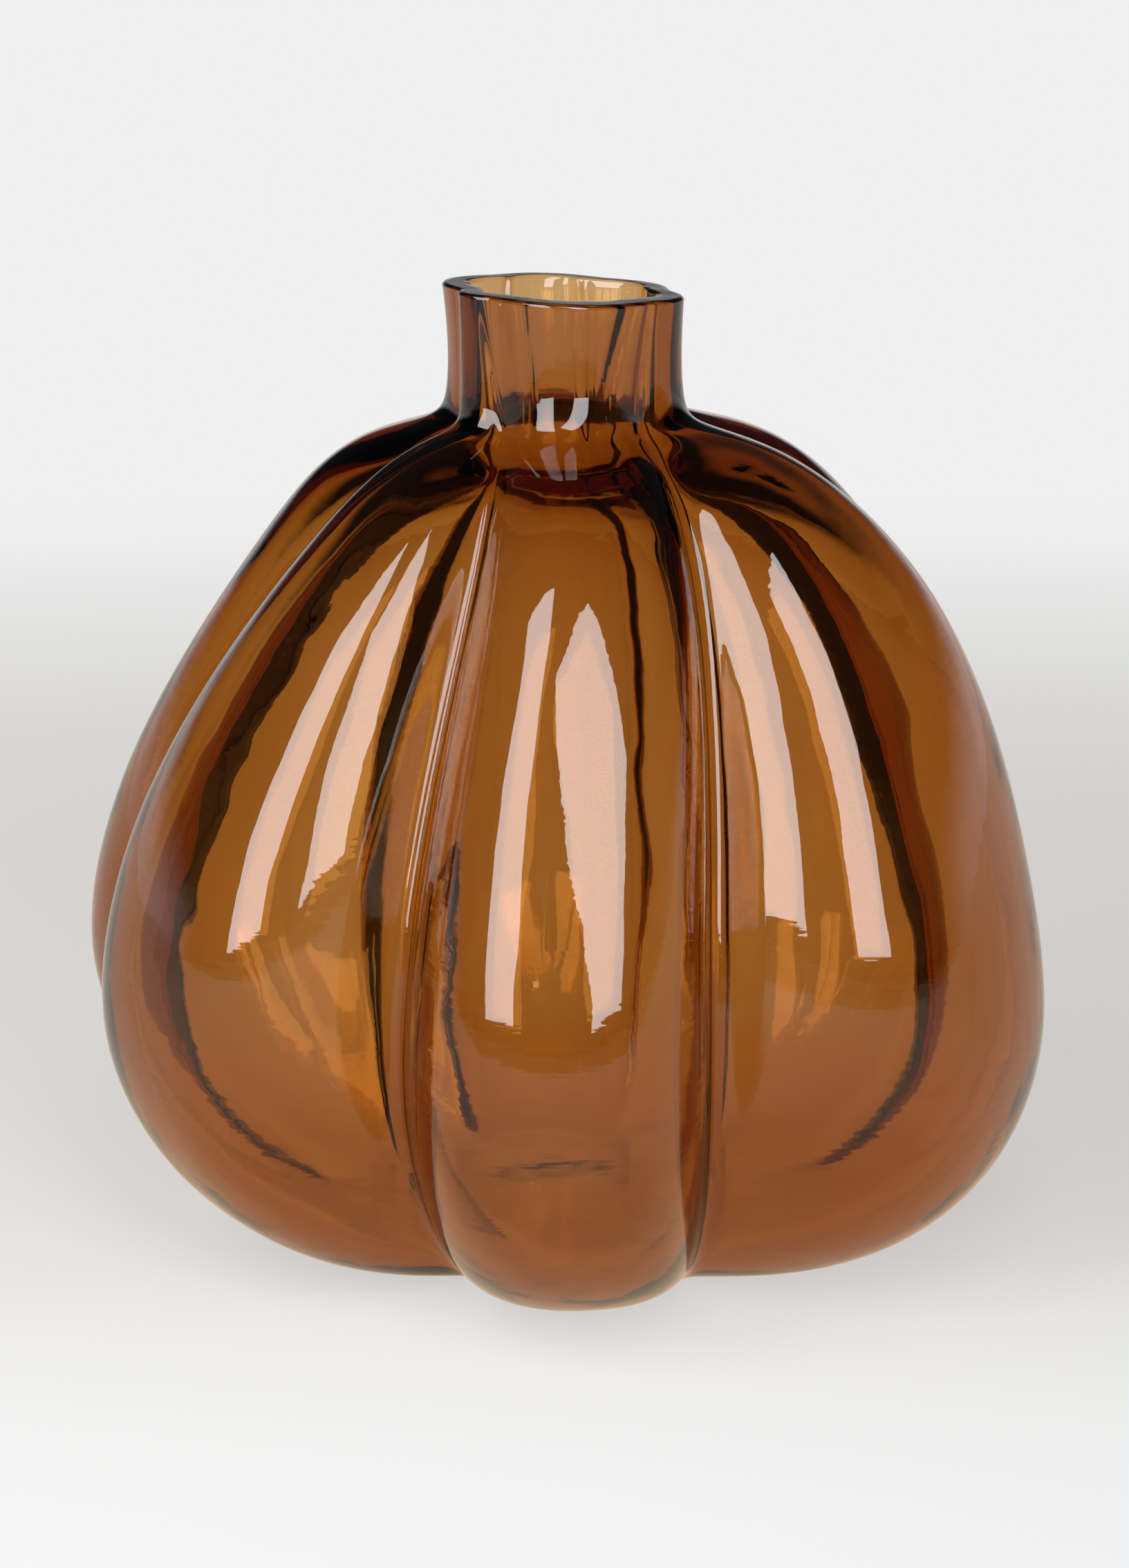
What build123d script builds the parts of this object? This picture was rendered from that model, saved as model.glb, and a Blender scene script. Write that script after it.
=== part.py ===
from build123d import *

import math
import os

os.makedirs("parts", exist_ok=True)

# Driving dimensions, in millimetres.
# The vase stands on z = 0, its front lobe faces -Y and its widest side lobe faces +X.
body_height = 172.0
neck_length = 28.0
belly_radius = 104.0
neck_radius = 24.2
body_wall = 5.0
neck_wall = 5.4
# The wall is thickest where the neck meets the body.
shoulder_wall = 8.0
floor_thickness = 5.5
# The rim is ground flat, but not quite level: it falls this much from its left side to its right.
rim_fall = 2.3
# The neck stands this far to the right of the middle of the irregular body.
neck_offset = 2.2
# The bore of the neck stands this far behind the neck's middle: its wall is thickest in front.
bore_setback = 1.3
# A shallow push-up under the floor leaves a flat ring for the vase to stand on.
punt_radius = 24.0
punt_depth = 2.5
# The neck is blown longer than this and cut off at the rim.
rim_overrun = 1.5

# The profile runs from the foot to the top of the neck as a uniform cubic B-spline.
# Its control points are shares of the body's height and of the belly's radius, then of the
# neck's length and radius. The first is the edge of the standing face.
body_height_shares = (
    0.0, 0.004, 0.018, 0.055, 0.110, 0.186, 0.280, 0.384,
    0.494, 0.605, 0.710, 0.802, 0.878, 0.939, 0.980, 0.998,
)
body_radius_shares = (
    0.423, 0.508, 0.615, 0.736, 0.846, 0.933, 0.986, 0.981,
    0.942, 0.885, 0.808, 0.721, 0.625, 0.524, 0.416, 0.315,
)
neck_length_shares = (0.064, 0.214, 0.5, 0.75, 1.0)
neck_radius_shares = (1.075, 1.012, 1.0, 1.012, 1.037)

# How deep the grooves cut below the lobes' crests, as a share of the crest's radius.
groove_depth_shares = (
    0.14, 0.18, 0.24, 0.27, 0.28, 0.28, 0.28, 0.28, 0.28, 0.28, 0.28,
    0.28, 0.28, 0.27, 0.25, 0.20, 0.14, 0.09, 0.08, 0.08, 0.08,
)
# How the glass thickens from the body's wall to the floor, to the neck's wall and at the shoulder.
floor_wall_shares = (
    1.0, 1.0, 0.90, 0.66, 0.42, 0.20, 0.08, 0.0, 0.0, 0.0, 0.0,
    0.0, 0.0, 0.0, 0.0, 0.0, 0.0, 0.0, 0.0, 0.0, 0.0,
)
neck_wall_shares = (
    0.0, 0.0, 0.0, 0.0, 0.0, 0.0, 0.0, 0.0, 0.0, 0.0, 0.0,
    0.0, 0.05, 0.15, 0.35, 0.60, 0.85, 1.0, 1.0, 1.0, 1.0,
)
shoulder_wall_shares = (
    0.0, 0.0, 0.0, 0.0, 0.0, 0.0, 0.0, 0.0, 0.0, 0.0, 0.0,
    0.05, 0.20, 0.45, 0.80, 0.95, 0.90, 0.10, 0.0, 0.0, 0.0,
)

# Six lobes go round from the front one to the right. Each row follows one lobe, or one groove,
# from the foot to the rim in eight equal steps of the profile.
lobe_size_shares = (
    (1.00, 1.00, 1.00, 1.00, 1.00, 1.00, 1.00, 1.00),
    (1.06, 1.07, 1.02, 1.02, 1.10, 1.04, 1.03, 1.00),
    (1.02, 1.02, 1.00, 1.00, 1.10, 1.14, 1.02, 1.00),
    (0.95, 0.97, 1.00, 1.00, 1.00, 1.00, 1.00, 1.00),
    (0.96, 0.97, 1.06, 1.045, 0.92, 1.04, 0.97, 0.99),
    (0.91, 0.94, 0.98, 1.03, 0.89, 0.83, 1.00, 0.99),
)
# Groove n lies before lobe n. Its direction is in degrees, from the front towards the right.
groove_directions = (
    (-25.0, -26.0, -26.5, -25.0, -21.0, -24.0, -38.0, -38.0),
    (36.0, 29.0, 23.0, 25.0, 31.0, 38.0, 50.0, 50.0),
    (98.0, 98.0, 98.0, 98.0, 98.0, 100.0, 104.0, 104.0),
    (155.0, 156.0, 157.0, 158.0, 159.0, 158.0, 157.0, 157.0),
    (220.0, 219.0, 218.0, 217.0, 216.0, 217.0, 218.0, 218.0),
    (271.0, 272.0, 274.0, 274.0, 276.0, 280.0, 288.0, 292.0),
)
groove_strength_shares = (
    (1.0, 1.0, 1.0, 1.0, 1.0, 1.0, 1.0, 1.0),
    (0.9, 1.0, 1.0, 1.0, 1.0, 1.0, 1.0, 1.0),
    (0.4, 0.4, 0.6, 0.9, 1.0, 1.0, 1.0, 1.0),
    (0.9, 1.0, 1.0, 1.0, 0.9, 1.0, 1.0, 1.0),
    (1.0, 1.0, 1.0, 0.9, 1.0, 1.0, 1.0, 1.0),
    (0.3, 0.3, 0.5, 0.7, 0.8, 1.0, 1.2, 1.3),
)
# How round the bottom of a groove is, from a sharp crease at 0: outside, and in the cavity.
outer_softness_shares = (0.25, 0.16, 0.16, 0.16, 0.16, 0.20, 0.30, 0.32)
inner_softness_shares = (0.60, 0.35, 0.30, 0.30, 0.35, 0.50, 0.50, 0.50)
# The grooves press a little deeper into the cavity, which keeps the wall even on their flanks.
outer_groove_shares = (1.0, 1.0)
inner_groove_shares = (1.12, 1.12, 1.12, 1.12, 1.12, 1.22, 1.20, 1.12)
# How flat a lobe's crest is, from a plain sine at 1 to nearly straight across at 2.
crest_flatness_shares = (1.1, 1.2, 1.5, 1.75, 1.75, 1.4, 1.0, 1.0)

lobe_count = len(lobe_size_shares)
full_turn = 360.0
# Section points crowd towards the grooves, where the outline bends most.
lobe_point_count = 14
step_section_count = 2
crowding_share = 0.7
# Every section's outline runs through its points at the same even steps, so the loft is smooth.
section_steps = [float(i) for i in range(lobe_count * lobe_point_count + 1)]


def spline_at(controls, along):
    """Value of the uniform cubic B-spline on these controls, with along from 0 to 1.

    It starts at the first control and ends at the last.
    """
    before = 2 * controls[0] - controls[1]
    after = 2 * controls[-1] - controls[-2]
    padded = [before, *controls, after]
    steps = len(controls) - 1
    step = min(int(along * steps), steps - 1)
    t = along * steps - step
    weights = (
        (1 - t) ** 3 / 6,
        (3 * t**3 - 6 * t**2 + 4) / 6,
        (-3 * t**3 + 3 * t**2 + 3 * t + 1) / 6,
        t**3 / 6,
    )
    return sum(weight * control for weight, control in zip(weights, padded[step:]))


def outer_controls():
    """Control heights and crest radii of the outside, foot to neck top."""
    heights = [share * body_height for share in body_height_shares]
    heights += [body_height + share * neck_length for share in neck_length_shares]
    heights[-1] += rim_overrun
    radii = [share * belly_radius for share in body_radius_shares]
    radii += [share * neck_radius for share in neck_radius_shares]
    return heights, radii


def inner_controls():
    """The outside's controls, each moved inwards by the wall, square to the profile."""
    heights, radii = outer_controls()
    inner_heights, inner_radii = [], []
    last = len(heights) - 1
    for i, (height, radius) in enumerate(zip(heights, radii)):
        below, above = max(i - 1, 0), min(i + 1, last)
        rise = heights[above] - heights[below]
        run = radii[above] - radii[below]
        length = math.hypot(rise, run)
        wall = body_wall + (floor_thickness - body_wall) * floor_wall_shares[i]
        wall += (neck_wall - body_wall) * neck_wall_shares[i]
        wall += (shoulder_wall - body_wall) * shoulder_wall_shares[i]
        inner_heights.append(height + wall * run / length)
        inner_radii.append(radius - wall * rise / length)
    return inner_heights, inner_radii


def swell(t, softness, flatness):
    """Rise of a lobe from 0 at its grooves, t = 0 and 1, to 1 at its crest.

    It is a sine, rounded in the grooves by the softness and levelled at the crest by the flatness.
    """
    full_rise = math.hypot(1, softness) - softness
    rise = (math.hypot(math.sin(math.pi * t), softness) - softness) / full_rise
    return 1 - max(1 - rise, 0) ** flatness


def ease(t):
    """A cosine step from 0 to 1."""
    return (1 - math.cos(math.pi * t)) / 2


def section_points(controls, softness_shares, groove_shares, setback, along):
    """Height and outline of one level section: a point for each step round each lobe.

    The setback moves the outline back where the wall is the neck's.
    """
    heights, radii = controls
    height = spline_at(heights, along)
    crest = spline_at(radii, along)
    depth = spline_at(groove_shares, along) * spline_at(groove_depth_shares, along)
    softness = spline_at(softness_shares, along)
    flatness = spline_at(crest_flatness_shares, along)
    sizes = [spline_at(row, along) for row in lobe_size_shares]
    strengths = [spline_at(row, along) for row in groove_strength_shares]
    directions = [spline_at(row, along) for row in groove_directions]
    directions.append(directions[0] + full_turn)
    back = setback * spline_at(neck_wall_shares, along)
    points = []
    for lobe in range(lobe_count):
        following = (lobe + 1) % lobe_count
        for i in range(lobe_point_count):
            even = i / lobe_point_count
            t = even - crowding_share * math.sin(2 * math.pi * even) / (2 * math.pi)
            neighbour = following if t >= 0.5 else lobe - 1
            share = ease(abs(t - 0.5))
            size = sizes[lobe] * (1 - share) + sizes[neighbour] * share
            strength = strengths[lobe] * (1 - ease(t)) + strengths[following] * ease(t)
            fall = depth * strength * (1 - swell(t, softness, flatness))
            radius = size * crest * (1 - fall)
            turn = math.radians(directions[lobe] * (1 - t) + directions[lobe + 1] * t)
            points.append((neck_offset + radius * math.sin(turn), back - radius * math.cos(turn)))
    return height, points


def section_places():
    """Places along the profile, foot to neck top, that get a section."""
    count = step_section_count * (len(groove_depth_shares) - 1)
    return [i / count for i in range(count + 1)]


# The glass: neck, body and floor are one blown wall, so they are one solid.
rim_height = body_height + neck_length
rim_plane = Plane(origin=(neck_offset, 0, rim_height), z_dir=(rim_fall, 0, 2 * neck_radius))

with BuildPart() as glass_body:
    for along in section_places():
        height, points = section_points(
            outer_controls(), outer_softness_shares, outer_groove_shares, 0, along
        )
        with BuildSketch(Plane.XY.offset(height)):
            with BuildLine():
                add(Edge.make_spline(points, periodic=True, parameters=section_steps))
            make_face()
    loft()
    for along in section_places():
        height, points = section_points(
            inner_controls(), inner_softness_shares, inner_groove_shares, bore_setback, along
        )
        with BuildSketch(Plane.XY.offset(height)):
            with BuildLine():
                add(Edge.make_spline(points, periodic=True, parameters=section_steps))
            make_face()
    loft(mode=Mode.SUBTRACT)
    split(bisect_by=rim_plane, keep=Keep.BOTTOM)
    with BuildSketch(Plane(origin=(neck_offset, 0, 0), x_dir=(1, 0, 0), z_dir=(0, -1, 0))):
        with BuildLine():
            Line((0, 0), (0, punt_depth))
            TangentArc((0, punt_depth), (punt_radius, 0), tangent=(1, 0))
            Line((punt_radius, 0), (0, 0))
        make_face()
    revolve(axis=Axis((neck_offset, 0, 0), (0, 0, 1)), mode=Mode.SUBTRACT)

glass_body.part.label = "glass_body"
export_step(glass_body.part, "parts/glass_body.step")
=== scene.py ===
"""A lobed vase of amber glass on a pale table, laid out as a Blender add-on.

The glass is one closed wall: outside, cut rim, cavity and floor. Lengths are in metres.
"""

import math

import bpy
import numpy as np
from bpy.props import FloatProperty, FloatVectorProperty, PointerProperty
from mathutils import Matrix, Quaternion, Vector


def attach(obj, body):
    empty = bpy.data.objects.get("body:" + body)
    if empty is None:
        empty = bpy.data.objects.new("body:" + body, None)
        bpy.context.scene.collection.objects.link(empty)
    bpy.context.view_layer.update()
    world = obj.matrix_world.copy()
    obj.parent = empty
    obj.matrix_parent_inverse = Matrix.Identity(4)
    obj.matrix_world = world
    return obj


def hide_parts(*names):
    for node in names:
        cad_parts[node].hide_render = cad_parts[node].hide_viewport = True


bl_info = {
    "name": "Lobed Glass Vase",
    "version": (1, 0, 0),
    "blender": (4, 5, 0),
    "location": "View3D > Sidebar > Glass Vase",
    "description": "Builds a lobed vase of thick amber glass, its table, softboxes and camera",
    "category": "Add Mesh",
}

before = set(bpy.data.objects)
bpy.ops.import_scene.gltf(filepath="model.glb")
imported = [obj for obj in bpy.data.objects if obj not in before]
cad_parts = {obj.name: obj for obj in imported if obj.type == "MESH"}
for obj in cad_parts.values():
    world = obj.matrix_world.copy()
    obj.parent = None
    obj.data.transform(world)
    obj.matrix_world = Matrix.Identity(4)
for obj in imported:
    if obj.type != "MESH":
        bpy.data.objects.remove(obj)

GLASS_NODE = "glass_body"
BODY = "root"
FULL_TURN = 2 * math.pi

# The profile runs from the foot to the top of the neck as a uniform cubic B-spline.
# Its controls are shares of the body's height and the belly's radius, then of the neck's.
# The first is the edge of the face that the vase stands on.
BODY_HEIGHT_SHARES = (
    0.0, 0.004, 0.018, 0.055, 0.110, 0.186, 0.280, 0.384,
    0.494, 0.605, 0.710, 0.802, 0.878, 0.939, 0.980, 0.998,
)
BODY_RADIUS_SHARES = (
    0.423, 0.508, 0.615, 0.736, 0.846, 0.933, 0.986, 0.981,
    0.942, 0.885, 0.808, 0.721, 0.625, 0.524, 0.416, 0.315,
)
NECK_LENGTH_SHARES = (0.064, 0.214, 0.5, 0.75, 1.0)
NECK_RADIUS_SHARES = (1.075, 1.012, 1.0, 1.012, 1.037)
# How deep the grooves cut below the crests, and where the wall thickens to the floor and the neck.
GROOVE_DEPTH_SHARES = (
    0.14, 0.18, 0.24, 0.27, 0.28, 0.28, 0.28, 0.28, 0.28, 0.28, 0.28,
    0.28, 0.28, 0.27, 0.25, 0.20, 0.14, 0.09, 0.08, 0.08, 0.08,
)
FLOOR_WALL_SHARES = (
    1.0, 1.0, 0.90, 0.66, 0.42, 0.20, 0.08, 0.0, 0.0, 0.0, 0.0,
    0.0, 0.0, 0.0, 0.0, 0.0, 0.0, 0.0, 0.0, 0.0, 0.0,
)
NECK_WALL_SHARES = (
    0.0, 0.0, 0.0, 0.0, 0.0, 0.0, 0.0, 0.0, 0.0, 0.0, 0.0,
    0.0, 0.05, 0.15, 0.35, 0.60, 0.85, 1.0, 1.0, 1.0, 1.0,
)
SHOULDER_WALL_SHARES = (
    0.0, 0.0, 0.0, 0.0, 0.0, 0.0, 0.0, 0.0, 0.0, 0.0, 0.0,
    0.05, 0.20, 0.45, 0.80, 0.95, 0.90, 0.10, 0.0, 0.0, 0.0,
)
# Six lobes go round from the front one to the right. Each row follows one lobe, or one groove,
# from the foot to the rim in eight equal steps of the profile.
LOBE_SIZE_SHARES = (
    (1.00, 1.00, 1.00, 1.00, 1.00, 1.00, 1.00, 1.00),
    (1.06, 1.07, 1.02, 1.02, 1.10, 1.04, 1.03, 1.00),
    (1.02, 1.02, 1.00, 1.00, 1.10, 1.14, 1.02, 1.00),
    (0.95, 0.97, 1.00, 1.00, 1.00, 1.00, 1.00, 1.00),
    (0.96, 0.97, 1.06, 1.045, 0.92, 1.04, 0.97, 0.99),
    (0.91, 0.94, 0.98, 1.03, 0.89, 0.83, 1.00, 0.99),
)
# Groove n lies before lobe n, in degrees from the front towards the right.
GROOVE_DIRECTIONS = (
    (-25.0, -26.0, -26.5, -25.0, -21.0, -24.0, -38.0, -38.0),
    (36.0, 29.0, 23.0, 25.0, 31.0, 38.0, 50.0, 50.0),
    (98.0, 98.0, 98.0, 98.0, 98.0, 100.0, 104.0, 104.0),
    (155.0, 156.0, 157.0, 158.0, 159.0, 158.0, 157.0, 157.0),
    (220.0, 219.0, 218.0, 217.0, 216.0, 217.0, 218.0, 218.0),
    (271.0, 272.0, 274.0, 274.0, 276.0, 280.0, 288.0, 292.0),
)
GROOVE_STRENGTH_SHARES = (
    (1.0, 1.0, 1.0, 1.0, 1.0, 1.0, 1.0, 1.0),
    (0.9, 1.0, 1.0, 1.0, 1.0, 1.0, 1.0, 1.0),
    (0.4, 0.4, 0.6, 0.9, 1.0, 1.0, 1.0, 1.0),
    (0.9, 1.0, 1.0, 1.0, 0.9, 1.0, 1.0, 1.0),
    (1.0, 1.0, 1.0, 0.9, 1.0, 1.0, 1.0, 1.0),
    (0.3, 0.3, 0.5, 0.7, 0.8, 1.0, 1.2, 1.3),
)
# How round the bottom of a groove is, from a sharp crease at 0: outside, and in the cavity.
OUTER_SOFTNESS_SHARES = (0.25, 0.16, 0.16, 0.16, 0.16, 0.20, 0.30, 0.32)
INNER_SOFTNESS_SHARES = (0.60, 0.35, 0.30, 0.30, 0.35, 0.50, 0.50, 0.50)
# The grooves press a little deeper into the cavity, which keeps the wall even on their flanks.
OUTER_GROOVE_SHARES = (1.0, 1.0)
INNER_GROOVE_SHARES = (1.12, 1.12, 1.12, 1.12, 1.12, 1.22, 1.20, 1.12)
# How flat a lobe's crest is, from a plain sine at 1 to nearly straight across at 2.
CREST_FLATNESS_SHARES = (1.1, 1.2, 1.5, 1.75, 1.75, 1.4, 1.0, 1.0)

# Waves of the glass's unevenness outside and inside: times round, length up the glass, phase.
OUTER_WAVES = ((4, 0.083, 0.4), (9, -0.061, 2.1), (13, 0.047, 4.0), (21, -0.038, 1.2))
INNER_WAVES = ((3, 0.071, 1.0), (7, -0.052, 3.3), (11, 0.040, 5.2), (17, -0.031, 0.7))
# Slanting ribs inside the neck: each one's direction at the rim, how far it has turned at the
# root of the neck, and its width, in degrees. They fade out below this share of the neck.
NECK_RIBS = (
    (-62.0, 20.0, 4.0), (-24.0, 8.0, 3.0), (14.0, 1.0, 2.5), (42.0, -22.0, 5.0), (62.0, -12.0, 4.0),
    (118.0, 12.0, 4.0), (171.0, -8.0, 3.5), (214.0, 14.0, 4.0), (262.0, -6.0, 3.5),
)
RIB_REACH_SHARE = 0.75
# How a bevel of the rim curves over: 1 is straight, and more leans on the flat.
BEVEL_POWER = 1.3

# Mesh density, and how far the columns crowd towards the grooves.
COLUMNS_PER_LOBE = 44
WALL_ROWS = 135
CROWDING_SHARE = 0.7
BEVEL_ROWS = 4
RIM_ROWS = 4
FOOT_ROWS = 8
PUNT_ROWS = 10
FLOOR_ROWS = 14


class VaseSizes(bpy.types.PropertyGroup):
    """Sizes of the glass."""

    body_height: FloatProperty(
        name="Body Height", description="Foot to the root of the neck",
        default=0.172, min=0.05, unit="LENGTH",
    )
    neck_length: FloatProperty(
        name="Neck Length", description="Root of the neck to the rim",
        default=0.028, min=0.005, unit="LENGTH",
    )
    belly_radius: FloatProperty(
        name="Belly Radius", description="Radius that the lobes' crests are shares of",
        default=0.104, min=0.02, unit="LENGTH",
    )
    neck_radius: FloatProperty(
        name="Neck Radius", description="Outside radius of the neck at its waist",
        default=0.0242, min=0.005, unit="LENGTH",
    )
    body_wall: FloatProperty(
        name="Body Wall", description="Thickness of the glass round the belly",
        default=0.005, min=0.001, unit="LENGTH",
    )
    shoulder_wall: FloatProperty(
        name="Shoulder Wall", description="Thickness of the glass where the neck meets the body",
        default=0.008, min=0.001, unit="LENGTH",
    )
    neck_wall: FloatProperty(
        name="Neck Wall", description="Thickness of the glass at the rim",
        default=0.0054, min=0.001, unit="LENGTH",
    )
    floor_thickness: FloatProperty(
        name="Floor Thickness", description="Thickness of the glass under the cavity",
        default=0.0055, min=0.002, unit="LENGTH",
    )
    rim_fall: FloatProperty(
        name="Rim Fall", description="How much lower the ground rim is on its right side",
        default=0.0023, unit="LENGTH",
    )
    rim_bevel: FloatProperty(
        name="Rim Bevel", description="Width and depth of the bevels on the ground rim's edges",
        default=0.0005, min=0.0001, unit="LENGTH",
    )
    rib_depth: FloatProperty(
        name="Rib Depth", description="Depth of the slanting ribs inside the neck",
        default=0.0008, min=0.0, unit="LENGTH",
    )
    neck_offset: FloatProperty(
        name="Neck Offset", description="How far right of the body's middle the neck stands",
        default=0.0022, unit="LENGTH",
    )
    bore_setback: FloatProperty(
        name="Bore Setback", description="How far behind the neck's middle its bore stands",
        default=0.0013, unit="LENGTH",
    )
    punt_radius: FloatProperty(
        name="Push-up Radius", description="Radius of the shallow hollow under the floor",
        default=0.024, min=0.005, unit="LENGTH",
    )
    punt_depth: FloatProperty(
        name="Push-up Depth", description="Depth of the shallow hollow under the floor",
        default=0.001, min=0.0, unit="LENGTH",
    )
    outer_ripple: FloatProperty(
        name="Outer Ripple", description="Unevenness left by the mould on the outside",
        default=0.00012, min=0.0, unit="LENGTH",
    )
    inner_ripple: FloatProperty(
        name="Inner Ripple", description="Unevenness of the blown cavity wall",
        default=0.0003, min=0.0, unit="LENGTH",
    )


class GlassLook(bpy.types.PropertyGroup):
    """Colour and finish of the glass."""

    tint: FloatVectorProperty(
        name="Tint", description="Colour that the glass turns light to as it thickens",
        default=(0.815, 0.61, 0.21), min=0.0, max=1.0, size=3, subtype="COLOR",
    )
    density: FloatProperty(
        name="Density", description="How fast the glass takes up light, for each metre",
        default=425.0, min=0.0,
    )
    refraction: FloatProperty(
        name="Refraction", description="Index of refraction of the glass",
        default=1.5, min=1.0, max=2.5,
    )
    rim_roughness: FloatProperty(
        name="Rim Roughness", description="Roughness of the cut and ground rim",
        default=0.2, min=0.0, max=1.0, subtype="FACTOR",
    )
    chill_depth: FloatProperty(
        name="Chill Depth", description="Depth of the fine marks of the cool mould",
        default=0.00002, min=0.0, unit="LENGTH",
    )
    wave_depth: FloatProperty(
        name="Wave Depth", description="Depth of the soft waves of the hand-blown surface",
        default=0.00022, min=0.0, unit="LENGTH",
    )
    draw_depth: FloatProperty(
        name="Draw Line Depth", description="Depth of the lines drawn along the neck",
        default=0.00003, min=0.0, unit="LENGTH",
    )


class StudioLook(bpy.types.PropertyGroup):
    """Table, softboxes and camera."""

    table_radius: FloatProperty(
        name="Table Radius", description="How far the pale table reaches",
        default=14.0, min=1.0, unit="LENGTH",
    )
    table_colour: FloatVectorProperty(
        name="Table Colour", description="Colour of the pale table near the vase",
        default=(0.68, 0.675, 0.665), min=0.0, max=1.0, size=3, subtype="COLOR",
    )
    # The glow near the vase, darker than the backdrop, is painted shade.
    table_glow: FloatVectorProperty(
        name="Table Glow", description="Colour of the light scattered over the table near the vase",
        default=(0.72, 0.705, 0.69), min=0.0, max=1.0, size=3, subtype="COLOR",
    )
    # The glow laid over the table near the vase is painted light that softens the vase's shadow.
    table_share: FloatProperty(
        name="Glow Share", description="Share of that scattered light in the table near the vase",
        default=0.75, min=0.0, max=1.0, subtype="FACTOR",
    )
    # How far in front of the vase the glass starts to show the table painted dark, a painted
    # reflection.
    painted_dark_front: FloatProperty(
        name="Table Front", description="How far the table reaches in front of the vase",
        default=0.9, min=0.2, unit="LENGTH",
    )
    backdrop_colour: FloatVectorProperty(
        name="Backdrop Colour", description="Colour of the pale background",
        default=(0.87, 0.87, 0.87), min=0.0, max=1.0, size=3, subtype="COLOR",
    )
    softbox_distance: FloatProperty(
        name="Softbox Distance", description="Distance of the softboxes from the vase",
        default=0.95, min=0.3, unit="LENGTH",
    )
    softbox_radiance: FloatProperty(
        name="Softbox Brightness", description="Brightness of the softboxes, where 1 is white",
        default=8.5, min=0.0,
    )
    camera_distance: FloatProperty(
        name="Camera Distance", description="Level distance from the vase to the camera",
        default=0.85, min=0.2, unit="LENGTH",
    )
    camera_side: FloatProperty(
        name="Camera Side", description="How far right of the neck's middle the camera stands",
        default=0.0005, unit="LENGTH",
    )
    camera_height: FloatProperty(
        name="Camera Height", description="Height of the camera above the table",
        default=0.31, unit="LENGTH",
    )
    aim_height: FloatProperty(
        name="Aim Height", description="Height on the vase that the camera points at",
        default=0.0962, unit="LENGTH",
    )
    lens: FloatProperty(
        name="Lens", description="Focal length on a 36 mm frame, in millimetres",
        default=96.2, min=10.0,
    )


def spline_values(controls, along):
    """Values of the uniform cubic B-spline on these controls, for along from 0 to 1.

    Each value is four neighbouring controls, weighted by the cubic basis. One reflected control
    beyond each end makes the curve start at the first control and end at the last.
    """
    controls = np.asarray(controls, float)
    before = 2 * controls[:1] - controls[1:2]
    after = 2 * controls[-1:] - controls[-2:-1]
    padded = np.concatenate([before, controls, after])
    steps = len(controls) - 1
    place = np.clip(along, 0, 1) * steps
    step = np.minimum(place.astype(int), steps - 1)
    t = place - step
    weights = (
        (1 - t) ** 3 / 6,
        (3 * t**3 - 6 * t**2 + 4) / 6,
        (-3 * t**3 + 3 * t**2 + 3 * t + 1) / 6,
        t**3 / 6,
    )
    return sum(weight * padded[step + i] for i, weight in enumerate(weights))


def outer_profile(sizes):
    """Control heights and crest radii of the outside, foot to rim."""
    heights = np.concatenate([
        np.array(BODY_HEIGHT_SHARES) * sizes.body_height,
        sizes.body_height + np.array(NECK_LENGTH_SHARES) * sizes.neck_length,
    ])
    radii = np.concatenate([
        np.array(BODY_RADIUS_SHARES) * sizes.belly_radius,
        np.array(NECK_RADIUS_SHARES) * sizes.neck_radius,
    ])
    return heights, radii


def inner_profile(sizes):
    """The outside's controls, each moved inwards by the wall, square to the profile."""
    heights, radii = outer_profile(sizes)
    rise = np.concatenate([[heights[1] - heights[0]], heights[2:] - heights[:-2],
                           [heights[-1] - heights[-2]]])
    run = np.concatenate([[radii[1] - radii[0]], radii[2:] - radii[:-2], [radii[-1] - radii[-2]]])
    length = np.hypot(rise, run)
    wall = sizes.body_wall + (sizes.floor_thickness - sizes.body_wall) * np.array(FLOOR_WALL_SHARES)
    wall += (sizes.neck_wall - sizes.body_wall) * np.array(NECK_WALL_SHARES)
    wall += (sizes.shoulder_wall - sizes.body_wall) * np.array(SHOULDER_WALL_SHARES)
    inner_heights = heights + wall * run / length
    inner_heights[-1] = heights[-1]
    return inner_heights, radii - wall * rise / length


def ease(t):
    """A cosine step from 0 to 1."""
    return (1 - np.cos(np.pi * t)) / 2


def swell(t, softness, flatness):
    """Rise of a lobe from 0 at its grooves to 1 at its crest.

    It is a sine, rounded in the grooves by the softness and levelled at the crest by the flatness.
    """
    rise = (np.hypot(np.sin(np.pi * t), softness) - softness) / (np.hypot(1, softness) - softness)
    return 1 - np.maximum(1 - rise, 0) ** flatness


def lobe_places():
    """For each column, the lobe that it is on and how far across that lobe it lies, 0 to 1."""
    even = np.arange(COLUMNS_PER_LOBE) / COLUMNS_PER_LOBE
    across = even - CROWDING_SHARE * np.sin(2 * np.pi * even) / (2 * np.pi)
    count = len(LOBE_SIZE_SHARES)
    return np.repeat(np.arange(count), COLUMNS_PER_LOBE), np.tile(across, count)


def table_rows(table, along):
    """Each row of a share table followed along the profile: one line of values for each row."""
    return np.stack([spline_values(row, along) for row in table])


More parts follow.
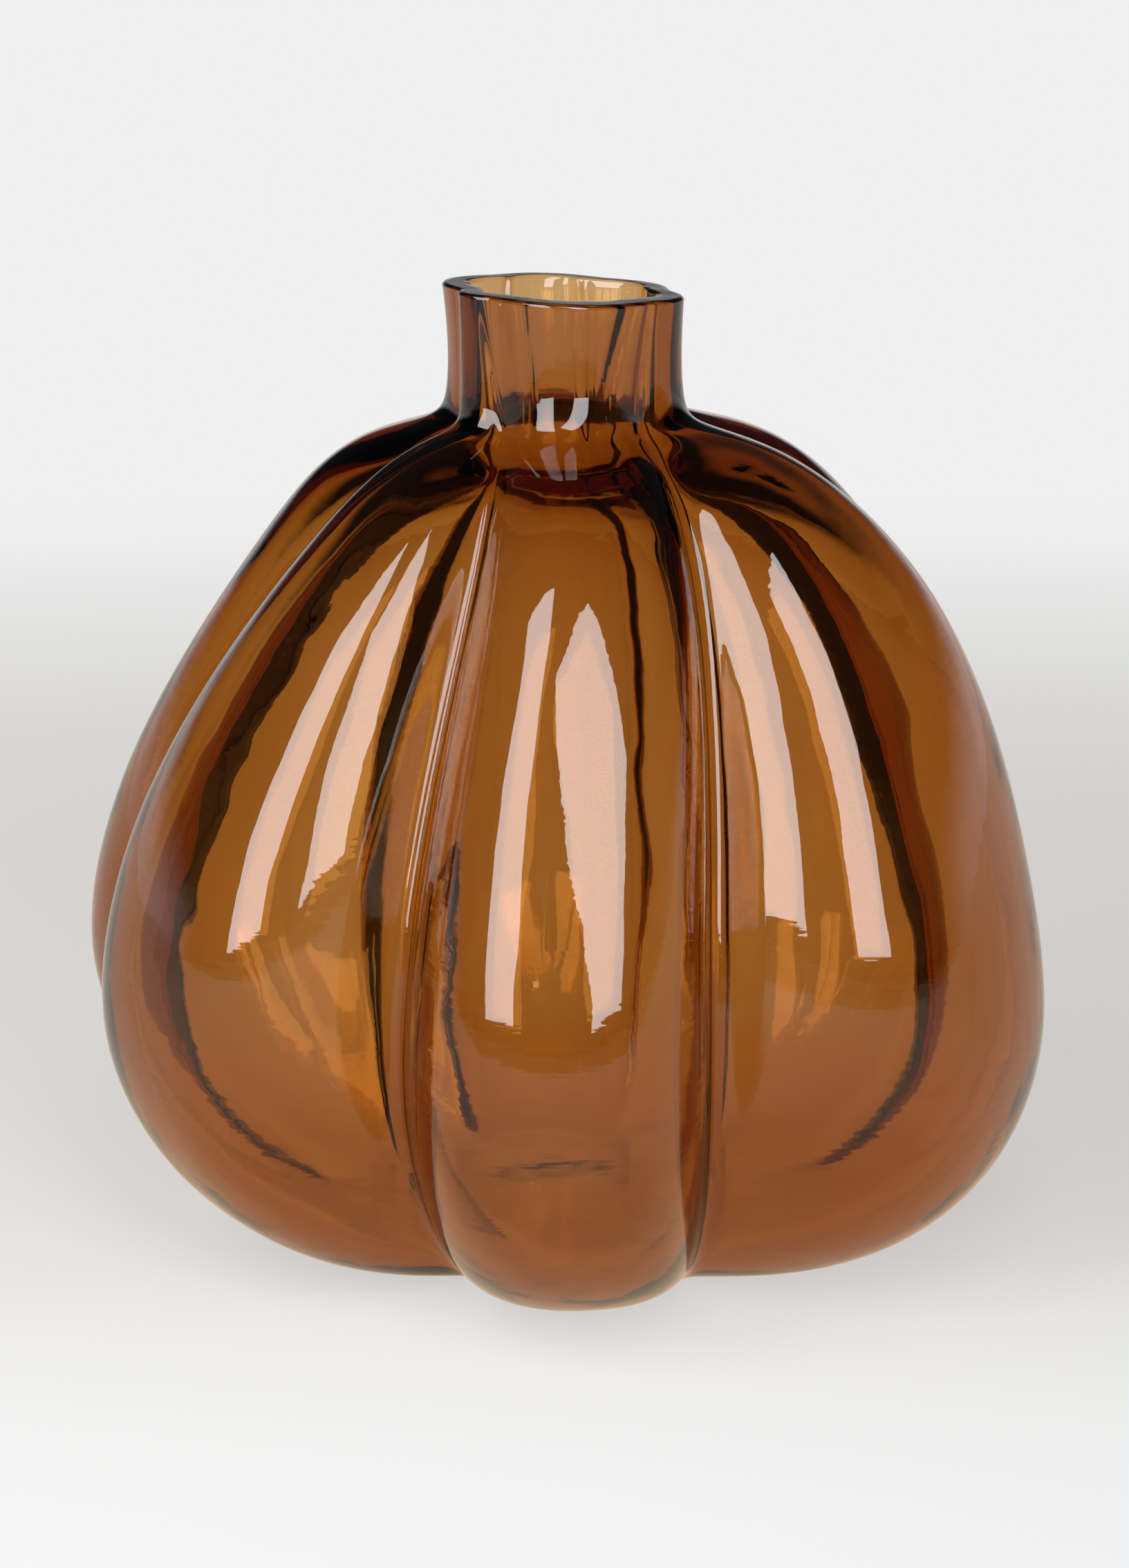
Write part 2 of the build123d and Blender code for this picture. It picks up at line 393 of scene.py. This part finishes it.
def wall_grid(sizes, profile, softness_shares, groove_shares, setback, along):
    """One side of the glass as a grid of points: rows follow the profile, columns go round.

    A point's distance from the neck's axis is the crest's radius times the lobe's size, less the
    groove's depth where the lobe's swell falls short of 1. Its direction runs evenly from one
    groove to the next. The setback moves it back where the wall is the neck's.
    """
    heights, radii = profile
    height = spline_values(heights, along)[:, None]
    crest = spline_values(radii, along)[:, None]
    depth = spline_values(groove_shares, along) * spline_values(GROOVE_DEPTH_SHARES, along)
    depth = depth[:, None]
    softness = spline_values(softness_shares, along)[:, None]
    flatness = spline_values(CREST_FLATNESS_SHARES, along)[:, None]
    lobe_sizes = table_rows(LOBE_SIZE_SHARES, along)
    strengths = table_rows(GROOVE_STRENGTH_SHARES, along)
    directions = np.radians(table_rows(GROOVE_DIRECTIONS, along))
    directions = np.concatenate([directions, directions[:1] + FULL_TURN])
    lobe, t = lobe_places()
    following = (lobe + 1) % len(lobe_sizes)
    neighbour = np.where(t >= 0.5, following, lobe - 1)
    share = ease(np.abs(t - 0.5))
    size = lobe_sizes[lobe].T * (1 - share) + lobe_sizes[neighbour].T * share
    strength = strengths[lobe].T * (1 - ease(t)) + strengths[following].T * ease(t)
    radius = size * crest * (1 - depth * strength * (1 - swell(t, softness, flatness)))
    turn = directions[lobe].T * (1 - t) + directions[lobe + 1].T * t
    back = setback * spline_values(NECK_WALL_SHARES, along)[:, None]
    return np.stack([sizes.neck_offset + radius * np.sin(turn), back - radius * np.cos(turn),
                     np.broadcast_to(height, radius.shape)], axis=-1)


def ripple(points, sizes, waves):
    """Unevenness from 0 to 1 over a grid of points: a mean of sines round and up the glass.

    Each wave is the number of times that it goes round, its length up the glass and its phase.
    """
    turn = np.arctan2(points[..., 0] - sizes.neck_offset, -points[..., 1])
    total = sum(np.sin(rounds * turn + FULL_TURN * points[..., 2] / length + phase)
                for rounds, length, phase in waves)
    return 0.5 + 0.5 * total / len(waves)


def neck_ribs(points, sizes):
    """Height of the neck's ribs, 0 to 1, at each point: bell curves across slanting lines."""
    turn = np.degrees(np.arctan2(points[..., 0] - sizes.neck_offset, -points[..., 1]))
    down = 1 - (points[..., 2] - sizes.body_height) / sizes.neck_length
    total = 0.0
    for direction, slant, width in NECK_RIBS:
        off = (turn - direction - slant * down + 180) % 360 - 180
        total = total + np.exp(-((off / width) ** 2))
    return total * ease(np.clip(2 - down / RIB_REACH_SHARE, 0, 1))


def push_inwards(points, sizes, distance):
    """Moves each point of a grid level towards the neck's axis by its own distance."""
    middle = np.array([sizes.neck_offset, 0.0])
    level = points[..., :2] - middle
    radius = np.linalg.norm(level, axis=-1, keepdims=True)
    moved = points.copy()
    moved[..., :2] = middle + level * (1 - distance[..., None] / radius)
    return moved


def lean_to_rim(points, sizes, top):
    """Shears the neck so that its top row, level at first, lies in the tilted rim plane."""
    slope = sizes.rim_fall / (2 * sizes.neck_radius)
    weight = np.clip((points[..., 2] - sizes.body_height) / (top - sizes.body_height), 0, 1)
    leaned = points.copy()
    leaned[..., 2] -= slope * (points[..., 0] - sizes.neck_offset) * weight
    return leaned


def between(first, last, shares):
    """Rows of points on the straight lines from one closed row to another."""
    shares = np.asarray(shares)[:, None, None]
    return first * (1 - shares) + last * shares


def bevelled_rim(outer_top, inner_top, bevel):
    """Rows over the ground rim: a bevel, the flat, and a bevel, with softened corners.

    The rows lie on the lines between the two walls' top rows. A bevel's share runs from 0 on the
    wall to 1 on the flat: it sinks below the flat by bevel times (1 - share) to the bevel's
    power, and keeps from the wall by bevel times share.
    """
    across = inner_top - outer_top
    width = np.linalg.norm(across[..., :2], axis=-1, keepdims=True)
    share = np.linspace(0, 1, BEVEL_ROWS + 1)[:, None, None]
    inset = bevel * share / width
    sink = bevel * (1 - share) ** BEVEL_POWER * np.array([0.0, 0.0, 1.0])
    outer_bevel = outer_top + across * inset - sink
    inner_bevel = (inner_top - across * inset - sink)[::-1]
    flat = between(outer_bevel[-1], inner_bevel[0], np.linspace(0, 1, RIM_ROWS + 2)[1:-1])
    return np.concatenate([outer_bevel, flat, inner_bevel])


def underside(foot, sizes):
    """Rows from the middle of the push-up out to the foot: a shallow dome, then the flat ring.

    The dome's height falls from the push-up's depth as the square of the share of its radius.
    """
    middle = np.array([sizes.neck_offset, 0.0, 0.0])
    level = foot - middle
    ring = middle + sizes.punt_radius * level / np.linalg.norm(level, axis=-1, keepdims=True)
    share = np.linspace(0, 1, PUNT_ROWS + 1)[1:, None, None]
    dome = middle + (ring - middle) * share
    dome[..., 2] = sizes.punt_depth * (1 - share[..., 0] ** 2)
    return np.concatenate([dome, between(ring, foot, np.linspace(0, 1, FOOT_ROWS + 1)[1:-1])])


def cavity_floor(edge, sizes):
    """Rows from the cavity's lowest row in to the middle: nearly flat, raised by the push-up."""
    middle = np.array([sizes.neck_offset, 0.0, edge[0, 2]])
    share = np.linspace(1, 0, FLOOR_ROWS + 1)[1:-1, None, None]
    rows = middle + (edge - middle) * share
    rows[..., 2] += sizes.punt_depth / 2 * ease(1 - share[..., 0])
    return rows


def closed_skin(name, rows, first_pole, last_pole):
    """A mesh from rows of points that go round, closed by a pole at each end."""
    row_count, column_count = rows.shape[:2]
    points = np.concatenate([first_pole[None], rows.reshape(-1, 3), last_pole[None]])
    column = np.arange(column_count)
    beside = (column + 1) % column_count
    start = 1 + column_count * np.arange(row_count - 1)[:, None]
    quads = np.stack([start + column, start + beside, start + column_count + beside,
                      start + column_count + column], axis=-1).reshape(-1, 4)
    last_start = 1 + column_count * (row_count - 1)
    first_fan = np.stack([np.zeros_like(column), 1 + beside, 1 + column], axis=-1)
    last_pole_index = np.full_like(column, len(points) - 1)
    last_fan = np.stack([last_start + column, last_start + beside, last_pole_index], axis=-1)
    loops = np.concatenate([first_fan.ravel(), quads.ravel(), last_fan.ravel()])
    counts = np.repeat([3, 4, 3], [column_count, len(quads), column_count])
    mesh = bpy.data.meshes.new(name)
    mesh.vertices.add(len(points))
    mesh.vertices.foreach_set("co", points.ravel())
    mesh.loops.add(len(loops))
    mesh.loops.foreach_set("vertex_index", loops)
    mesh.polygons.add(len(counts))
    mesh.polygons.foreach_set("loop_start", np.cumsum(counts) - counts)
    mesh.update(calc_edges=True)
    mesh.shade_smooth()
    mesh.validate()
    return mesh


def vase_mesh(sizes):
    """The whole glass wall as one closed skin, with the ground rim marked by an attribute."""
    along = np.linspace(0, 1, WALL_ROWS)
    outer = wall_grid(sizes, outer_profile(sizes), OUTER_SOFTNESS_SHARES, OUTER_GROOVE_SHARES,
                      0.0, along)
    inner = wall_grid(sizes, inner_profile(sizes), INNER_SOFTNESS_SHARES, INNER_GROOVE_SHARES,
                      sizes.bore_setback, along)
    # The unevenness fades out at the foot and at the rim.
    fade = np.sqrt(np.abs(np.sin(np.pi * along)))[:, None]
    uneven = sizes.outer_ripple * fade * ripple(outer, sizes, OUTER_WAVES)
    outer = push_inwards(outer, sizes, uneven)
    uneven = sizes.inner_ripple * fade * ripple(inner, sizes, INNER_WAVES)
    inner = push_inwards(inner, sizes, uneven)
    top = sizes.body_height + sizes.neck_length
    inner = push_inwards(inner, sizes, sizes.rib_depth * neck_ribs(inner, sizes))
    outer, inner = lean_to_rim(outer, sizes, top), lean_to_rim(inner, sizes, top)
    rim = bevelled_rim(outer[-1], inner[-1], sizes.rim_bevel)
    under = underside(outer[0], sizes)
    floor = cavity_floor(inner[0], sizes)
    rows = np.concatenate([under, outer[:-1], rim, inner[-2::-1], floor])
    first_pole = np.array([sizes.neck_offset, 0.0, sizes.punt_depth])
    last_pole = np.array([sizes.neck_offset, 0.0, inner[0, 0, 2] + sizes.punt_depth / 2])
    mesh = closed_skin("glass_body_skin", rows, first_pole, last_pole)
    ground = np.zeros(rows.shape[:2])
    rim_start = len(under) + WALL_ROWS - 1
    ground[rim_start + 1:rim_start + len(rim) - 1] = 1
    attribute = mesh.attributes.new("ground_rim", "FLOAT", "POINT")
    attribute.data.foreach_set("value", np.concatenate([[0], ground.ravel(), [0]]))
    return mesh


def add_node(tree, kind, inputs=None, **settings):
    """A new node with its settings, and its inputs given as values or linked sockets."""
    node = tree.nodes.new(kind)
    for name, value in settings.items():
        setattr(node, name, value)
    for name, value in (inputs or {}).items():
        if isinstance(value, bpy.types.NodeSocket):
            tree.links.new(value, node.inputs[name])
        else:
            node.inputs[name].default_value = value
    return node


def math_of(tree, operation, *values, clamp=False):
    """The output of a Math node on numbers or sockets."""
    inputs = dict(enumerate(values))
    return add_node(tree, "ShaderNodeMath", inputs, operation=operation, use_clamp=clamp).outputs[0]


def ramp_of(tree, value, low, high, start=0.0, end=1.0):
    """A smooth step of a value from start, at low, to end, at high."""
    inputs = {"Value": value, "From Min": low, "From Max": high, "To Min": start, "To Max": end}
    node = add_node(tree, "ShaderNodeMapRange", inputs, interpolation_type="SMOOTHSTEP")
    return node.outputs["Result"]


def blend_of(tree, factor, first, last):
    """A colour from first, at 0, to last, at 1."""
    inputs = {0: factor, 6: first, 7: last}
    return add_node(tree, "ShaderNodeMix", inputs, data_type="RGBA").outputs[2]


def noise_of(tree, place, scale, detail=1.0, roughness=0.4):
    """A soft noise over a place, as fine along X, Y and Z as the scale says."""
    finer = add_node(tree, "ShaderNodeMapping", {"Vector": place, "Scale": scale})
    return add_node(tree, "ShaderNodeTexNoise", {
        "Vector": finer.outputs["Vector"], "Scale": 1.0, "Detail": detail, "Roughness": roughness,
    }).outputs["Fac"]


def bump_of(tree, height, depth, normal=None):
    """The normal of a surface raised by the height, 0 to 1, times the depth."""
    inputs = {"Strength": 1.0, "Distance": depth, "Height": height}
    if normal:
        inputs["Normal"] = normal
    return add_node(tree, "ShaderNodeBump", inputs).outputs["Normal"]


def empty_tree(owner):
    """The owner's node tree, emptied."""
    owner.use_nodes = True
    owner.node_tree.nodes.clear()
    return owner.node_tree


# Fineness of the noises along X, Y and Z: the mould's chill marks are several times wider than
# high, the hand-blown waves are broad, and the draw lines run up the neck.
CHILL_SCALE = (90.0, 90.0, 620.0)
WAVE_SCALE = (80.0, 80.0, 55.0)
DRAW_SCALE = (420.0, 420.0, 30.0)


def amber_glass(look, sizes):
    """Clear amber glass: a thick body with chill marks, soft waves and the neck's draw lines."""
    material = bpy.data.materials.new("amber_glass")
    tree = empty_tree(material)
    place = add_node(tree, "ShaderNodeTexCoord").outputs["Object"]
    level = add_node(tree, "ShaderNodeSeparateXYZ", {0: place}).outputs["Z"]
    chill = noise_of(tree, place, CHILL_SCALE, detail=2.0)
    wave = noise_of(tree, place, WAVE_SCALE)
    draw = noise_of(tree, place, DRAW_SCALE)
    on_neck = ramp_of(tree, level, sizes.body_height - sizes.neck_length / 2,
                      sizes.body_height + sizes.neck_length / 2)
    drawn = math_of(tree, "MULTIPLY", draw, on_neck)
    normal = bump_of(tree, chill, look.chill_depth)
    normal = bump_of(tree, wave, look.wave_depth, normal)
    normal = bump_of(tree, drawn, look.draw_depth, normal)
    ground = add_node(tree, "ShaderNodeAttribute", attribute_name="ground_rim").outputs["Fac"]
    shader = add_node(tree, "ShaderNodeBsdfPrincipled", {
        "Base Color": (1.0, 1.0, 1.0, 1.0), "IOR": look.refraction, "Transmission Weight": 1.0,
        "Roughness": math_of(tree, "MULTIPLY", ground, look.rim_roughness),
        "Normal": normal,
    })
    absorption = add_node(tree, "ShaderNodeVolumeAbsorption", {
        "Color": (*look.tint, 1.0), "Density": look.density,
    })
    add_node(tree, "ShaderNodeOutputMaterial", {
        "Surface": shader.outputs["BSDF"], "Volume": absorption.outputs["Volume"],
    })
    return material


def seen_by(tree, *rays):
    """1 for a ray of any of these kinds, else 0."""
    path = add_node(tree, "ShaderNodeLightPath")
    seen = path.outputs[rays[0]]
    for ray in rays[1:]:
        seen = math_of(tree, "MAXIMUM", seen, path.outputs[ray])
    return seen


# Where the table's glow starts to pale and where it has the backdrop's colour, along Y: behind
# the vase and in front of it. The darker glow near the vase is painted shade.
PALER_BEHIND = (0.20, 0.90)
PALER_IN_FRONT = (0.05, -0.16)
# Distances from the vase: over the first its shadow fades out for the camera, and over the second
# the table that shows in the glass takes on a painted pool of amber light.
SHADOW_ENDS = (0.30, 0.90)
PAINTED_LIGHT_POOL = (0.17, 0.10)
PAINTED_LIGHT_POOL_COLOUR = (0.80, 0.60, 0.42, 1.0)
# Share of the table's light in the glass that is plain glow, and how far its reflections are
# painted a warm tone, as a painted reflection of light that came through the glass.
GLASS_GLOW_SHARE = 0.9
PAINTED_WARMTH_SHARE = 0.5
PAINTED_WARMTH_TONE = (0.78, 0.55, 0.35, 1.0)
# The painted edge of the table in the glass wanders this far, as finely as this, and is this soft.
EDGE_SHIFT = 0.9
EDGE_SCALE = (3.5, 3.5, 3.5)
EDGE_SOFTNESS = 0.03
# Brightness of the dark side of the room, where 1 is white.
ROOM_DARKNESS = 0.03


def table_top(look):
    """Pale matt table: lit and shadowed near the vase, under a painted glow that is darker there,
    as painted shade, and paler in front and far behind.

    Far away it turns to the backdrop's plain colour for the camera. In the glass it glows by
    itself, has a painted pool of amber light close to the vase, and ends in a painted reflection of
    the dark room in front.
    """
    material = bpy.data.materials.new("table_top")
    tree = empty_tree(material)
    place = add_node(tree, "ShaderNodeTexCoord").outputs["Object"]
    back = add_node(tree, "ShaderNodeSeparateXYZ", {0: place}).outputs["Y"]
    level = add_node(tree, "ShaderNodeVectorMath", {0: place}, operation="LENGTH").outputs["Value"]
    # Painted shade: the glow is darker near the vase and pales behind and in front of it.
    painted_shade_fading = math_of(tree, "MAXIMUM", ramp_of(tree, back, *PALER_BEHIND),
                    ramp_of(tree, back, *PALER_IN_FRONT))
    glow = blend_of(tree, painted_shade_fading, (*look.table_glow, 1.0), (*look.backdrop_colour, 1.0))
    by_camera = seen_by(tree, "Is Camera Ray")
    by_glass = seen_by(tree, "Is Glossy Ray", "Is Transmission Ray")
    # For the camera, the table near the vase is mostly painted glow, which softens the lamps'
    # shadow.
    painted_glow_for_camera = math_of(tree, "MULTIPLY", by_camera,
                     ramp_of(tree, level, *SHADOW_ENDS, look.table_share, 1.0))
    # Not far in front of the vase the glass shows the table painted dark: a painted reflection of
    # the dark room beyond it.
    uneven = noise_of(tree, place, EDGE_SCALE, detail=2.0, roughness=0.5)
    wandering = math_of(tree, "MULTIPLY_ADD", uneven, EDGE_SHIFT, back)
    edge = EDGE_SHIFT / 2 - look.painted_dark_front
    before_painted_dark = ramp_of(tree, wandering, edge - EDGE_SOFTNESS, edge)
    glow = blend_of(tree, math_of(tree, "MAXIMUM", before_painted_dark, by_camera),
                    (*[ROOM_DARKNESS] * 3, 1.0), glow)
    # Painted light: close to the vase the glass shows the table in an amber pool, as if lit through
    # the glass.
    painted_pool = math_of(tree, "MULTIPLY", ramp_of(tree, level, *PAINTED_LIGHT_POOL), by_glass)
    glow = blend_of(tree, painted_pool, glow, PAINTED_LIGHT_POOL_COLOUR)
    # Painted reflection: in the glass's reflections the table is tinted warm.
    painted_warm_reflection = math_of(tree, "MULTIPLY", seen_by(tree, "Is Glossy Ray"), PAINTED_WARMTH_SHARE)
    glow = blend_of(tree, painted_warm_reflection, glow, PAINTED_WARMTH_TONE)
    in_glass = math_of(tree, "MULTIPLY", by_glass, GLASS_GLOW_SHARE)
    lit = add_node(tree, "ShaderNodeBsdfDiffuse", {"Color": (*look.table_colour, 1.0)})
    pale = add_node(tree, "ShaderNodeEmission", {"Color": glow})
    mixed = add_node(tree, "ShaderNodeMixShader", {
        0: math_of(tree, "MAXIMUM", painted_glow_for_camera, in_glass), 1: lit.outputs[0], 2: pale.outputs[0],
    })
    add_node(tree, "ShaderNodeOutputMaterial", {"Surface": mixed.outputs[0]})
    return material


# The room's pale parts, as components of a ray's direction: first where dark, then where pale.
# The wall behind the vase ends upwards and to the front, and the band shows only through glass.
WALL_TOP = (0.22, 0.02)
WALL_FRONT = (-0.3, 0.3)
BAND_TOP = (0.50, 0.20)


def studio_world(look):
    """The room: pale to the camera and behind the vase, dark above and in front in the glass."""
    world = bpy.data.worlds.new("studio_room")
    tree = empty_tree(world)
    direction = add_node(tree, "ShaderNodeTexCoord").outputs["Generated"]
    axes = add_node(tree, "ShaderNodeSeparateXYZ", {0: direction})
    up, back = axes.outputs["Z"], axes.outputs["Y"]
    wall = math_of(tree, "MULTIPLY", ramp_of(tree, up, *WALL_TOP), ramp_of(tree, back, *WALL_FRONT))
    band = math_of(tree, "MULTIPLY", ramp_of(tree, up, *BAND_TOP),
                   seen_by(tree, "Is Transmission Ray"))
    pale = math_of(tree, "MAXIMUM", wall, band)
    pale = math_of(tree, "MAXIMUM", pale, seen_by(tree, "Is Camera Ray"))
    strength = math_of(tree, "MULTIPLY_ADD", pale, 1 - ROOM_DARKNESS, ROOM_DARKNESS, clamp=True)
    shader = add_node(tree, "ShaderNodeBackground", {
        "Color": (*look.backdrop_colour, 1.0), "Strength": strength,
    })
    add_node(tree, "ShaderNodeOutputWorld", {"Surface": shader.outputs[0]})
    return world


# The table is round with this many sides, and lies this far below the foot, so that the two
# faces don't share a plane.
TABLE_SIDES = 96
TABLE_GAP = 0.0002
# Share of the body's height that the softboxes are aimed at.
SOFTBOX_AIM_SHARE = 0.7
# The softboxes are turned this far from facing the vase: their right sides stand nearer to it.
SOFTBOX_TURN = math.radians(38.0)
# Each softbox: its direction from the front, its middle's height over the horizon, width, height.
SOFTBOXES = (
    ("left_softbox", math.radians(-42.0), math.radians(31.0), 0.52, 1.10),
    ("right_softbox", math.radians(10.0), math.radians(31.0), 0.44, 1.10),
)


def add_softbox(look, name, direction, elevation, width, height, target):
    """An upright rectangular lamp that faces the vase."""
    lamp = bpy.data.lights.new(name, "AREA")
    lamp.shape = "RECTANGLE"
    lamp.size, lamp.size_y = width, height
    lamp.energy = look.softbox_radiance * math.pi * width * height
    softbox = bpy.data.objects.new(name, lamp)
    reach = look.softbox_distance * math.cos(elevation)
    softbox.location = target + Vector((reach * math.sin(direction), -reach * math.cos(direction),
                                        look.softbox_distance * math.sin(elevation)))
    facing = (target - softbox.location).to_track_quat("-Z", "Y")
    softbox.rotation_euler = (Quaternion((0, 0, 1), SOFTBOX_TURN) @ facing).to_euler()
    softbox.visible_camera = False
    bpy.context.scene.collection.objects.link(softbox)


class VASE_OT_add_glass_body(bpy.types.Operator):
    """Add the vase: outside, cut rim, cavity and floor as one closed wall of amber glass"""

    bl_idname = "vase.add_glass_body"
    bl_label = "Add Glass Body"

    def execute(self, context):
        sizes, look = context.scene.vase_sizes, context.scene.vase_glass
        glass = bpy.data.objects.new("blown_glass_vase", vase_mesh(sizes))
        glass.data.materials.append(amber_glass(look, sizes))
        context.scene.collection.objects.link(glass)
        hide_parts(GLASS_NODE)
        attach(glass, BODY)
        return {"FINISHED"}


class VASE_OT_add_stage(bpy.types.Operator):
    """Add the pale table, the room and the two softboxes"""

    bl_idname = "vase.add_stage"
    bl_label = "Add Stage"

    def execute(self, context):
        look, sizes = context.scene.vase_studio, context.scene.vase_sizes
        turn = np.linspace(0, FULL_TURN, TABLE_SIDES, endpoint=False)
        level = np.full_like(turn, -TABLE_GAP / look.table_radius)
        edge = look.table_radius * np.stack([np.cos(turn), np.sin(turn), level], axis=-1)
        mesh = bpy.data.meshes.new("table")
        mesh.from_pydata(edge.tolist(), [], [list(range(len(turn)))])
        mesh.materials.append(table_top(look))
        table = bpy.data.objects.new("table", mesh)
        context.scene.collection.objects.link(table)
        context.scene.world = studio_world(look)
        target = Vector((sizes.neck_offset, 0.0, SOFTBOX_AIM_SHARE * sizes.body_height))
        for softbox in SOFTBOXES:
            add_softbox(look, *softbox, target)
        return {"FINISHED"}


class VASE_OT_add_camera(bpy.types.Operator):
    """Add the camera, looking down a little at the front lobe"""

    bl_idname = "vase.add_camera"
    bl_label = "Add Camera"

    def execute(self, context):
        look, sizes = context.scene.vase_studio, context.scene.vase_sizes
        side = sizes.neck_offset + look.camera_side
        lens = bpy.data.cameras.new("camera")
        lens.lens = look.lens
        camera = bpy.data.objects.new("camera", lens)
        camera.location = (side, -look.camera_distance, look.camera_height)
        aim = Vector((side, 0.0, look.aim_height))
        camera.rotation_euler = (aim - camera.location).to_track_quat("-Z", "Y").to_euler()
        context.scene.collection.objects.link(camera)
        context.scene.camera = camera
        return {"FINISHED"}


class VASE_PT_panel(bpy.types.Panel):
    """The vase's operators and settings in the sidebar"""

    bl_label = "Glass Vase"
    bl_idname = "VASE_PT_panel"
    bl_space_type = "VIEW_3D"
    bl_region_type = "UI"
    bl_category = "Glass Vase"

    def draw(self, context):
        for operator in OPERATORS:
            self.layout.operator(operator.bl_idname)
        for group_name in GROUPS:
            group = getattr(context.scene, group_name)
            box = self.layout.box()
            for name in group.__annotations__:
                box.prop(group, name)


GROUPS = {"vase_sizes": VaseSizes, "vase_glass": GlassLook, "vase_studio": StudioLook}
OPERATORS = (VASE_OT_add_glass_body, VASE_OT_add_stage, VASE_OT_add_camera)
CLASSES = (*GROUPS.values(), *OPERATORS, VASE_PT_panel)


def register():
    """Registers the classes and hangs the settings on the scene."""
    for item in CLASSES:
        bpy.utils.register_class(item)
    for name, group in GROUPS.items():
        setattr(bpy.types.Scene, name, PointerProperty(type=group))


def unregister():
    """Takes the settings and the classes away again."""
    for name in GROUPS:
        delattr(bpy.types.Scene, name)
    for item in reversed(CLASSES):
        bpy.utils.unregister_class(item)


def main():
    """Builds everything in order."""
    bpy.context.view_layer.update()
    register()
    for operator in OPERATORS:
        group, name = operator.bl_idname.split(".")
        getattr(getattr(bpy.ops, group), name)()
    bpy.context.scene.view_settings.view_transform = "Standard"


if __name__ == "__main__":
    main()
